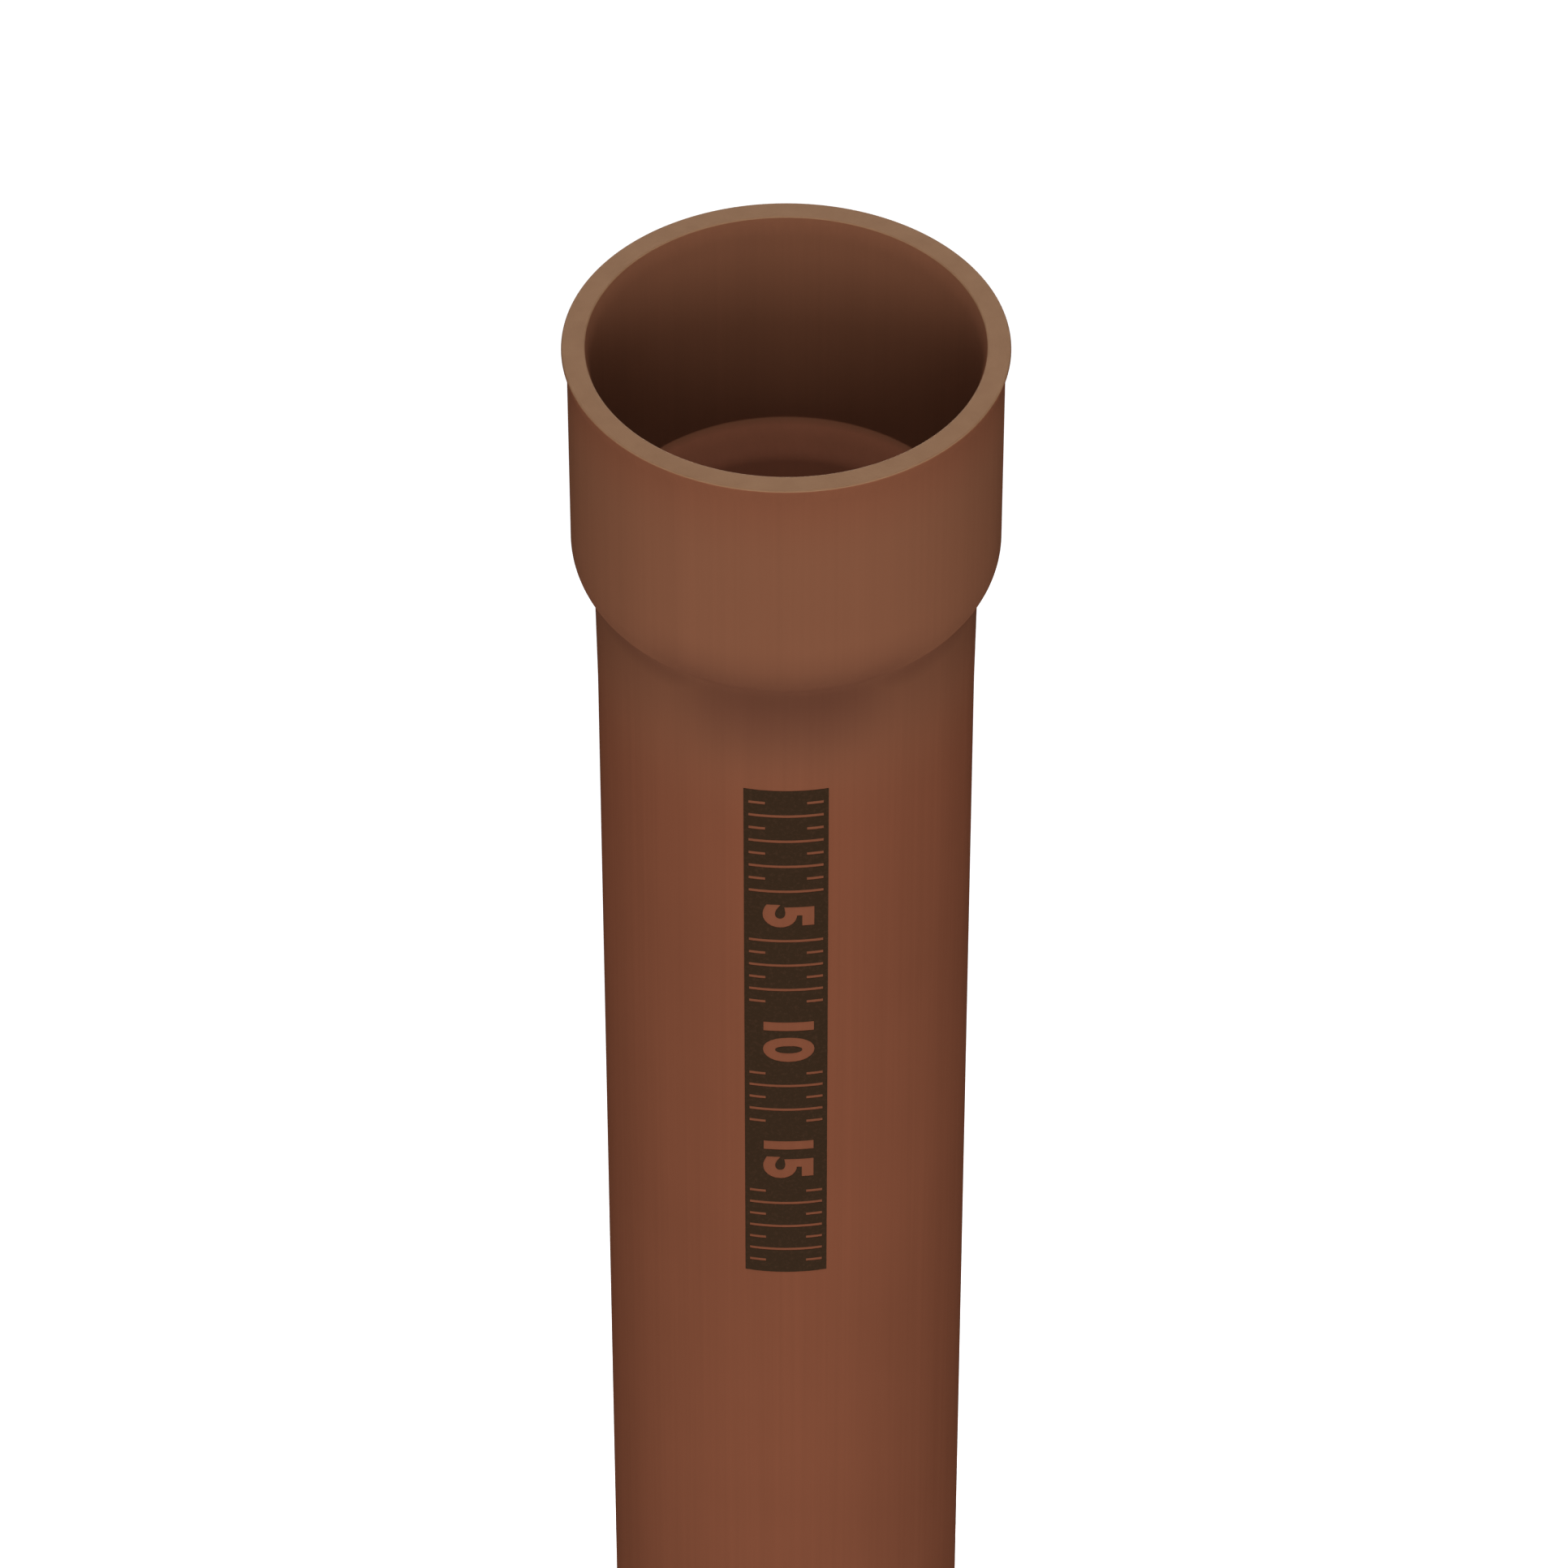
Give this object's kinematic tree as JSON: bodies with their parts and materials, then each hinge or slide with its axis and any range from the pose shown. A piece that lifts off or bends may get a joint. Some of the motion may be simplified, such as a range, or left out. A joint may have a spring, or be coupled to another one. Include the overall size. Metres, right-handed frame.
{
  "type": "pvc pipe",
  "caption": "Straight rigid PVC pressure pipe with a plain solvent-cement socket formed on one end, standing upright on its plain end.",
  "frame": {"origin": "centre of the plain end's face", "axes": "+Z along the pipe's axis, from the plain end to the mouth of the socket"},
  "size_m": [0.127, 0.1266, 3],
  "materials": {
    "pvc": "smooth extruded, satin",
    "ink": "dark brown printed mark, matte"
  },
  "bodies": {
    "root": {"pipe": "pvc"}
  },
  "joints": []
}
